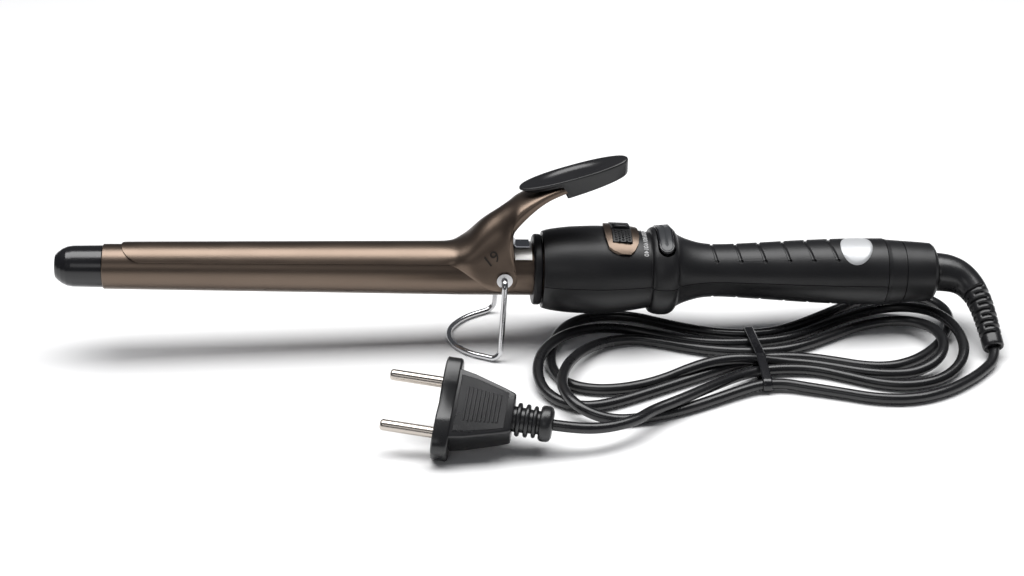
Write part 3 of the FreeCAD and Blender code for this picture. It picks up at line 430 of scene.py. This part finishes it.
shell_up = remade("upper_shell", "grip_upper", [(cut_v, cut_f), (pit_v, pit_f)], M["black"])
shell_lo = remade("lower_shell", "grip_lower", [(cut_v, cut_f)], M["black"])

# --- clamp lever: one pressed sheet, spoon over the barrel, waist, ears, thumb arm
BR0, BR1 = 8.4, 9.8


def barrel_r(x):
    return BR0 + min(max((x - 18.1) / 131.9, 0.0), 1.0) * (BR1 - BR0)


def spoon_row(x, th_max, n=28):
    R = barrel_r(x) + 0.8
    return [(x, R * math.sin(math.radians(th_max * (2.0 * k / n - 1))), R * math.cos(math.radians(th_max * (2.0 * k / n - 1)))) for k in range(n + 1)]


def arch_row(xc, zc, xf, zf, w, p, n=28):
    out = []
    for k in range(n + 1):
        a = (2.0 * k / n - 1) * math.pi / 2
        y = w * math.copysign(abs(math.sin(a)) ** 0.92, a)
        h = abs(math.cos(a)) ** p if k not in (0, n) else 0.0
        out.append((xf + (xc - xf) * h, y, zf + (zc - zf) * h))
    return out


rows = []
xs = [24.8 + 8.2 * (1 - math.cos(math.radians(q))) for q in range(0, 91, 10)]
for x in xs:
    k = max(0.0, 1 - ((33.0 - x) / 8.2) ** 2) if x < 33.0 else 1.0
    rows.append(spoon_row(x, max(55 * math.sqrt(k), 4.0)))
for x in [36, 40, 50, 60, 70, 80, 90, 100, 110, 120, 128, 134, 139, 143]:
    rows.append(spoon_row(x, 55))
ARCH = [  # crown x, crown z, foot x, foot z, half width, power, mix from spoon
    (145.0, 10.6, 145.0, 5.9, 8.7, 0.80, 0.10), (146.8, 10.75, 147.0, 5.0, 9.2, 0.74, 0.35), (148.2, 11.1, 149.4, 4.1, 9.8, 0.66, 0.65),
    (149.6, 11.9, 151.6, 3.0, 10.4, 0.62, 0.9), (151.4, 13.1, 153.6, 1.9, 10.9, 0.63, 1.0), (153.2, 14.9, 155.6, 0.5, 11.2, 0.66, 1.0),
    (155.2, 17.4, 157.8, -1.2, 11.4, 0.70, 1.0), (157.2, 19.6, 160.0, -2.7, 11.5, 0.72, 1.0), (159.0, 21.2, 162.4, -3.4, 11.6, 0.73, 1.0),
    (160.8, 22.6, 165.0, -3.75, 11.65, 0.74, 1.0), (162.4, 23.8, 167.9, -3.5, 11.65, 0.74, 1.0), (163.8, 24.8, 170.2, -1.9, 11.65, 0.74, 1.0),
    (165.0, 25.7, 171.2, 0.8, 11.65, 0.74, 1.0), (166.2, 26.5, 170.6, 4.0, 11.6, 0.73, 1.0), (167.3, 27.2, 169.2, 7.4, 11.4, 0.72, 1.0),
    (168.4, 27.9, 168.1, 11.2, 11.1, 0.70, 1.0), (169.5, 28.6, 167.7, 15.4, 10.6, 0.66, 1.0), (170.8, 29.5, 168.3, 18.8, 10.0, 0.60, 1.0),
    (172.6, 30.5, 170.4, 21.5, 9.2, 0.54, 1.0), (175.0, 31.8, 173.2, 24.5, 8.4, 0.48, 1.0), (178.0, 33.3, 176.8, 27.9, 7.6, 0.44, 1.0),
    (181.4, 34.9, 180.6, 30.9, 7.0, 0.40, 1.0), (185.0, 36.3, 184.6, 33.0, 6.5, 0.38, 1.0), (190.0, 37.7, 190.0, 35.1, 6.1, 0.36, 1.0)]
for xc, zc, xf, zf, w, p, mix in ARCH:
    a_ = arch_row(xc, zc, xf, zf, w, p)
    if mix < 1.0:
        s_ = spoon_row(xc, 55)
        a_ = [tuple(s_[i][q] * (1 - mix) + a_[i][q] * mix for q in range(3)) for i in range(len(a_))]
    rows.append(a_)
lv, lf = grid([[W(*p) for p in r] for r in rows], closed=False)
lever = add_mesh("lever_sheet", lv, lf, M["bronze"], "clamp")
sub = lever.modifiers.new("sub", "SUBSURF")
sub.levels = sub.render_levels = 1
sol = lever.modifiers.new("thick", "SOLIDIFY")
sol.thickness = 0.00055
sol.offset = -1.0
bevel(lever, 0.14, 2, 50)
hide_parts("clamp_lever")
# tongue under the paddle
tg = []
for x, z in ((186.5, 34.9), (190.0, 36.0), (197.0, 38.2), (203.0, 40.1)):
    tg.append([W(x, -4.4, z), W(x, 4.4, z), W(x, 4.4, z + 0.7), W(x, -4.4, z + 0.7)])
v_, f_ = grid(tg, True, True, True)
add_mesh("lever_tongue", v_, f_, M["bronze"], "clamp", smooth=False)

# --- thumb paddle
PT, PCX, PCZ = math.radians(17.5), 190.65, 40.5


def pad_pt(u, v, h):
    return W(PCX + u * math.cos(PT) - h * math.sin(PT), v, PCZ + u * math.sin(PT) + h * math.cos(PT))


def oval(k, A=20.8, B=6.6, n=120):
    a = 2 * math.pi * k / n
    c_, s_ = math.cos(a), math.sin(a)
    return A * math.copysign(abs(c_) ** 0.9, c_), B * math.copysign(abs(s_) ** 0.88, s_)


def smooth01(t):
    t = min(max(t, 0.0), 1.0)
    return t * t * (3 - 2 * t)


def under(u):
    s_ = smooth01((u + 5.2) / 0.9)
    return -2.2 * (1 - s_) + s_ * (-7.3 + 0.055 * max(0, u + 4.0))


def dish(u, v):
    q = (u + 0.5) ** 2 / 13.8 ** 2 + v * v / 4.9 ** 2
    return -0.95 * smooth01((1.0 - q) / 0.75) if q < 1 else 0.0


NP = 120
rows = []
for sc, hh in ((0.0, None), (0.5, None), (0.86, None), (0.925, -0.25), (0.94, 0.25)):
    rows.append([])
    for k in range(NP):
        u, v = oval(k)
        b_ = under(u)
        rows[-1].append(pad_pt(u * sc, v * sc, under(u * sc) if hh is None else b_ + 0.35 + hh))
for fr in (0.25, 0.5, 0.75):
    rows.append([])
    for k in range(NP):
        u, v = oval(k)
        b_ = under(u)
        sc = 0.94 + 0.06 * fr
        rows[-1].append(pad_pt(u * sc, v * sc, b_ + 0.6 + (-0.75 - b_ - 0.6) * fr))
for sc, h in ((1.0, -0.7), (0.995, -0.35), (0.98, -0.1), (0.955, 0.0), (0.92, 0.02), (0.86, 0.02), (0.8, 0.0), (0.72, 0), (0.64, 0), (0.55, 0), (0.45, 0), (0.33, 0), (0.2, 0), (0.08, 0), (0.0, 0)):
    rows.append([pad_pt(oval(k)[0] * sc, oval(k)[1] * sc, h + dish(oval(k)[0] * sc, oval(k)[1] * sc)) for k in range(NP)])
v_, f_ = grid(rows, True)
paddle = add_mesh("paddle_pad", v_, f_, M["paddle"], "clamp")
bm = bmesh.new()
bm.from_mesh(paddle.data)
bmesh.ops.remove_doubles(bm, verts=bm.verts, dist=1e-6)
bmesh.ops.recalc_face_normals(bm, faces=bm.faces)
bm.to_mesh(paddle.data)
bm.free()
for p in paddle.data.polygons:
    p.use_smooth = True
sharp(paddle, 50)
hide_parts("thumb_paddle")


# --- raised size mark on the ear
def text_on(name, body_text, size, place, material, body, thick=0.05):
    cu = bpy.data.curves.new(name, "FONT")
    cu.body = body_text
    cu.size = size * MM
    cu.extrude = thick * MM
    cu.align_x, cu.align_y = "CENTER", "CENTER"
    cu.resolution_u = 3
    o = bpy.data.objects.new(name + "_t", cu)
    bpy.context.collection.objects.link(o)
    bpy.context.view_layer.update()
    me = bpy.data.meshes.new_from_object(o.evaluated_get(bpy.context.evaluated_depsgraph_get()))
    bpy.data.objects.remove(o)
    for v in me.vertices:
        v.co = place(v.co.x / MM, v.co.y / MM, v.co.z / MM)
    me.materials.clear()
    me.materials.append(material)
    ob = bpy.data.objects.new(name, me)
    bpy.context.collection.objects.link(ob)
    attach(ob, body)
    return ob


def ear_place(tx, ty, tz):
    a = math.radians(38)
    x = 161.2 + tx * math.cos(a) - ty * math.sin(a)
    z = 9.4 + tx * math.sin(a) + ty * math.cos(a)
    # distance of the sheet at this height
    h = min(max((z + 3.0) / (23.6 + 3.0), 0.0), 1.0)
    aa = math.acos(h ** (1 / 0.735))
    return W(x, -(11.6 * math.sin(aa) ** 0.92) - 0.05 - tz, z)


text_on("size_mark", "19", 6.4, ear_place, mat("mark_dark", (0.03, 0.024, 0.02), 0.55, 0.5, bump=0.05), "clamp", 0.06)


# --- slider knob: ridge and dimpled flanks on the CAD knob
nv, nf = [], []
for row_i, x in enumerate((207.6, 208.9, 210.2, 211.5, 212.6)):
    for th in range(8, 27, 4):
        th2 = th + (2 if row_i % 2 else 0)
        R = 18.02 - (0.12 if x > 211 else 0.0)
        o_ = len(nv)
        for r_, h_ in ((0.52, -0.05), (0.42, 0.2), (0.2, 0.32)):
            nv += [surf(x + r_ * math.cos(q * math.pi / 4), th2 + math.degrees(r_ * math.sin(q * math.pi / 4) / R), R + h_) for q in range(8)]
        for i in range(2):
            for j in range(8):
                a, b = o_ + i * 8 + j, o_ + i * 8 + (j + 1) % 8
                nf.append((a, b, b + 8, a + 8))
        nf.append(tuple(o_ + 16 + q for q in range(8)))
knob_dots = add_mesh("knob_grip", nv, nf, M["black"], "temp_slider")
o_rows = []
for th, r_ in ((-3.4, 18.2), (-3.2, 18.9), (-2.2, 19.15), (0, 19.25), (2.2, 19.15), (3.2, 18.9), (3.4, 18.2)):
    o_rows.append([surf(206.5 + 0.3 * (19.3 - r_), th, r_ - 0.1), surf(208.2, th, r_), surf(211.5, th, r_ - 0.12), surf(213.3 - 0.4 * (19.3 - r_), th, r_ - 0.75)])
v_, f_ = grid(o_rows, False)
knob_ridge = add_mesh("knob_ridge", v_, f_, M["black"], "temp_slider")
m_ = knob_ridge.modifiers.new("thick", "SOLIDIFY")
m_.thickness = 0.0004
m_.offset = -1
bevel(N["slider_plate"], 0.18, 2, 35)
bevel(N["slider_knob"], 0.16, 2, 35)

# --- numerals round the barrel of the handle, beside the slider
BODYR = [(216.0, 15.25), (221.0, 14.4)]


def num_place(th0):
    def place(tx, ty, tz):
        x = 219.15 - ty
        R = 15.3 - 0.17 * (x - 216.0) + 0.03 + tz
        return surf(x, th0 + math.degrees(tx / R), R)
    return place


for i, lab in enumerate(("220", "200", "180", "160", "140")):
    text_on("numeral_" + lab, lab, 2.5, num_place(-18 + 13.5 * i), M["print"], "root", 0.03)

# --- power button: a capsule over the collar, with a dished glossy face
BX, BH, BW = 226.6, 11.9, 3.0
NB = 72


def capsule(k, sc=1.0, shrink=0.0):
    a = 2 * math.pi * k / NB
    st = BH - BW
    c_, s_ = math.cos(a), math.sin(a)
    w_ = BW - shrink
    x, y = w_ * c_, w_ * s_
    y += st if s_ > 1e-9 else (-st if s_ < -1e-9 else 0)
    if abs(s_) <= 1e-9:
        y = 0
    return x * sc, y * sc


def cap_prof(x):
    return 17.65 - 0.055 * (x - 227.3) ** 2


rows = []
for shrink, r_off, base in ((0.0, None, 15.3), (0.0, -0.35, None), (0.08, -0.12, None), (0.3, 0.0, None), (0.62, 0.0, None), (0.75, -0.12, None), (0.95, -0.3, None), (1.5, -0.42, None), (2.1, -0.46, None), (2.75, -0.48, None)):
    row = []
    for k in range(NB):
        px, py = capsule(k, 1.0, shrink)
        x = BX + px
        # the ring lies on the round of the collar: arc length py at radius 17
        th = math.degrees(math.asin(max(-0.999, min(0.999, py / 17.65))))
        R = base if base else cap_prof(x) + r_off
        row.append(surf(x, th, R))
    rows.append(row)
v_, f_ = grid(rows, True, False, True)
btn = add_mesh("button_cap", v_, f_, M["gloss"], "power_button", slots=[(M["lens"], lambda p: p.index >= NB * 5)])
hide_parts("power_button")

# --- sticker near the tail: a plain oval film that follows the grip
rows = []
for sc in (1.0, 0.99, 0.8, 0.6, 0.4, 0.2, 0.02):
    row = []
    for k in range(72):
        a = 2 * math.pi * k / 72
        dx, dt = 6.05 * sc * math.cos(a), 38.0 * sc * math.sin(a)
        x = 300.0 + dx - 0.035 * dt
        row.append(surf(x, 14 + dt + 0.6 * dx, lerp_tab(NECK, x) + (0.02 if sc == 1.0 else 0.14)))
    rows.append(row)
v_, f_ = grid(rows, True, False, True)
add_mesh("oval_sticker", v_, f_, M["label"], "root")

# --- cord boot: smooth elbow, then the strain relief with staggered slots
E3 = V(182.2, -29.6, 4.25)
DW = Vector((0.05, -0.870, -0.490)).normalized()
C0, C1, C2 = W(332.4, 0, 0), W(350.0, 0, 0), E3 - DW * 0.017
BOOT_R = [(0, 7.4), (0.1, 7.2), (0.2, 6.75), (0.35, 5.75), (0.5, 5.0), (0.65, 4.6), (0.8, 4.3), (0.9, 4.1), (1.0, 4.0)]


def boot_at(t):
    p = C0 * (1 - t) ** 3 + C1 * 3 * t * (1 - t) ** 2 + C2 * 3 * t * t * (1 - t) + E3 * t ** 3
    d = ((C1 - C0) * 3 * (1 - t) ** 2 + (C2 - C1) * 6 * t * (1 - t) + (E3 - C2) * 3 * t * t).normalized()
    return p, d


samples = [boot_at(i / 400)[0] for i in range(401)]
arc = [0.0]
for a, b in zip(samples[:-1], samples[1:]):
    arc.append(arc[-1] + (b - a).length / MM)
TOT = arc[-1]
print("boot length", round(TOT, 2))
NA = 96
SLOT0, PITCH, NSLOT = TOT - 26.0, 2.45, 9
rows = []
s = 0.0
stations = []
while s < TOT - 0.001:
    stations.append(s)
    s += 0.9 if s < SLOT0 - 2 or s > TOT - 3.2 else 0.245
stations.append(TOT)
for s in stations:
    i = min(range(401), key=lambda q: abs(arc[q] - s))
    t = i / 400
    if 0 < i < 400:
        j = i if arc[i] <= s else i - 1
        t = (j + (s - arc[j]) / max(arc[j + 1] - arc[j], 1e-9)) / 400
    p, d = boot_at(min(max(t, 0), 1))
    R = lerp_tab(BOOT_R, t)
    side = d.cross(Vector((0, 0, 1))).normalized()
    up = side.cross(d)
    if s < 0.6:
        R -= (0.6 - s) * 0.7
    if s > TOT - 0.5:
        R -= (s - TOT + 0.5) * 0.6
    k_ = (s - SLOT0) / PITCH
    row = []
    for q in range(NA):
        a = 2 * math.pi * q / NA
        dep = 0.0
        if 0 <= k_ < NSLOT:
            ph = k_ - math.floor(k_)
            edge = min(smooth01((ph - 0.22) / 0.16), smooth01((0.78 - ph) / 0.16))
            odd = int(math.floor(k_)) % 2
            c_ = abs(math.cos(a - math.radians(35)))
            gate = smooth01((0.97 - c_) / 0.05) if odd else smooth01((c_ - 0.24) / 0.08)
            dep = 1.25 * edge * gate
        row.append(p + (side * math.cos(a) + up * math.sin(a)) * (R - dep) * MM)
    rows.append(row)
# turned-in mouth round the cord
p, d = boot_at(1.0)
side = d.cross(Vector((0, 0, 1))).normalized()
up = side.cross(d)
for rr, back in ((3.3, 0.0), (2.75, 0.15), (2.5, 0.9), (2.3, 2.0)):
    rows.append([p - d * back * MM + (side * math.cos(2 * math.pi * q / NA) + up * math.sin(2 * math.pi * q / NA)) * rr * MM for q in range(NA)])
v_, f_ = grid(rows, True, True, True)
boot = add_mesh("boot_relief", v_, f_, M["plug"], "cord_swivel")
sharp(boot, 60)
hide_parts("cord_boot")

# --- plug: flange with finger notch, tapered grip with raised rib field, ringed tail
TIPM, EXITP = Vector((-46.2, -70.4, 16.2)), Vector((11.3, -82.1, 10.4))
PU = (EXITP - TIPM)
PLEN = PU.length
PU.normalize()
PH = Vector((-PU.y, PU.x, 0)).normalized()
PUP = PU.cross(PH)
if PUP.z < 0:
    PUP = -PUP
RL = math.radians(36)
PWD = PH * math.cos(RL) + PUP * math.sin(RL)
PTH = PU.cross(PWD)


def plug(x, y, z):
    p = TIPM + PU * x + PWD * y + PTH * z
    return p * MM


ZS = 1.0 if (PTH.z * 0.5 - PTH.y * 0.5) > 0 else -1.0   # the wide face that looks up and forward


def rrect(x, hy, hz, r, n=6):
    out = []
    for cy, cz, a0 in ((hy - r, hz - r, 0), (-hy + r, hz - r, 90), (-hy + r, -hz + r, 180), (hy - r, -hz + r, 270)):
        for k in range(n + 1):
            a = math.radians(a0 + 90.0 * k / n)
            out.append((x, cy + r * math.cos(a), cz + r * math.sin(a)))
    return out


def plug_piece(name, secs, material=None, sm=True):
    v_, f_ = grid([[plug(*q) for q in s_] for s_ in secs], True, True, True)
    o = add_mesh(name, v_, f_, material or M["plug"], "root", smooth=sm)
    return o


fl = []
for x, ins in ((19.0, 1.0), (19.15, 0.4), (19.6, 0.0), (24.0, 0.0), (24.6, 0.35), (24.8, 0.9)):
    row = []
    n = 96
    for k in range(n):
        a = 2 * math.pi * k / n
        c_, s_ = math.cos(a), math.sin(a)
        hy, hz = 18.4 - ins, 7.6 - ins
        y = hy * math.copysign(abs(c_) ** 0.42, c_)
        z = hz * math.copysign(abs(s_) ** 0.62, s_)
        notch = smooth01((2.6 - abs(y)) / 0.9) * smooth01((abs(z) - 3.5) / 1.5)
        z -= math.copysign(2.3 * notch, z)
        row.append((x, y, z))
    fl.append(row)
flange_o = plug_piece("plug_flange", fl)
sharp(flange_o, 40)
gr = []
for x, hy, hz in ((24.6, 13.0, 7.0), (25.4, 12.8, 6.95), (30.0, 11.9, 6.8), (36.0, 10.1, 6.55), (41.0, 8.6, 6.3), (44.4, 7.5, 6.05), (45.0, 7.1, 5.7), (45.1, 6.4, 5.2)):
    gr.append([(x, y, z) for _, y, z in rrect(x, hy, hz, 0.9 if x < 44 else 1.1, 4)])
# the bevelled long edges of the wide faces
grip_o = plug_piece("plug_grip", gr)
sharp(grip_o, 38)
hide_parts("plug_body")
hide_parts("plug_body")
face_pts = ((25.6, 10.6), (31.0, 9.9), (37.0, 8.3), (42.6, 6.7))
for zs in (1, -1):
    pl = []
    for hgt, ins in ((0.0, -0.25), (0.45, 0.0), (0.6, 0.3)):
        row = []
        for x, y in face_pts:
            row.append((x + (ins if x < 26 else 0), y - ins, zs * (6.99 - 0.046 * (x - 25.0) + hgt - 0.25)))
        for x, y in reversed(face_pts):
            row.append((x + (ins if x < 26 else 0), -(y - ins), zs * (6.99 - 0.046 * (x - 25.0) + hgt - 0.25)))
        pl.append(row)
    v_, f_ = grid([[plug(*q) for q in s_] for s_ in pl], True, False, True)
    o = add_mesh("plug_panel_%d" % (1 if zs > 0 else 0), v_, f_, M["plug"], "root", smooth=False)
    rv, rf = [], []
    for k in range(9):
        x = 28.6 + 1.42 * k
        y1 = 6.6 - 0.16 * k
        o_ = len(rv)
        z0 = 6.99 - 0.046 * (x - 25.0) + 0.33
        for dx, dz in ((-0.42, 0.0), (-0.22, 0.42), (0.22, 0.42), (0.42, 0.0)):
            for y in (-y1, -y1 + 0.5, y1 - 0.5, y1):
                e = 0.0 if abs(y) > y1 - 0.1 else dz
                rv.append(plug(x + dx, y, zs * (z0 + e)))
        for i in range(3):
            for j in range(3):
                a = o_ + i * 4 + j
                rf.append((a, a + 1, a + 5, a + 4))
    add_mesh("plug_ribs_%d" % (1 if zs > 0 else 0), rv, rf, M["plug"], "root", smooth=False)
tail = []
for x, r in ((44.6, 4.4), (45.3, 4.5), (46.0, 4.5), (46.2, 5.5), (46.6, 5.9), (47.3, 5.9), (47.7, 5.5), (47.9, 4.4), (48.9, 4.4), (49.1, 5.4), (49.5, 5.8), (50.2, 5.8), (50.6, 5.4), (50.8, 4.2), (51.7, 4.2), (51.9, 5.2),
             (52.3, 5.6), (52.9, 5.6), (53.3, 5.2), (53.5, 4.1), (54.2, 4.1), (54.35, 5.6), (54.9, 6.15), (55.8, 6.3), (57.4, 6.25), (58.3, 5.8), (PLEN - 0.05, 4.6), (PLEN, 2.1)):
    tail.append([(x, r * math.cos(2 * math.pi * k / 48), r * math.sin(2 * math.pi * k / 48)) for k in range(48)])
tail_o = plug_piece("plug_tail", tail)
sharp(tail_o, 60)
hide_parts("plug_relief")

# --- tie: a thin flat band pulled round the strands
line = bpy.data.meshes.new_from_object(cord_line)
TX = 92.75
centres = []
vs = [v.co / MM for v in line.vertices]
for e in line.edges:
    a, b = vs[e.vertices[0]], vs[e.vertices[1]]
    if (a.x - TX) * (b.x - TX) <= 0 and abs(a.x - b.x) > 1e-6:
        q = a.lerp(b, (TX - a.x) / (b.x - a.x))
        centres.append((q.y, q.z))
print("strands at the tie", [(round(y, 1), round(z, 1)) for y, z in centres])
rows = []
for dx, r_ in ((-1.75, 2.3), (-1.6, 2.68), (-1.1, 2.82), (1.1, 2.82), (1.6, 2.68), (1.75, 2.3), (1.5, 2.08), (-1.5, 2.08), (-1.75, 2.3)):
    row = []
    for k in range(96):
        a = 2 * math.pi * k / 96
        ny, nz = math.cos(a), math.sin(a)
        cy, cz = max(centres, key=lambda c_: c_[0] * ny + c_[1] * nz)
        row.append(V(TX + dx, cy + r_ * ny, max(cz + r_ * nz, 0.06)))
    rows.append(row)
v_, f_ = grid(rows, True)
tie = add_mesh("tie_band", v_, f_, M["gloss"], "root")
sharp(tie, 60)
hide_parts("cord_tie")
bpy.data.objects.remove(cord_line)
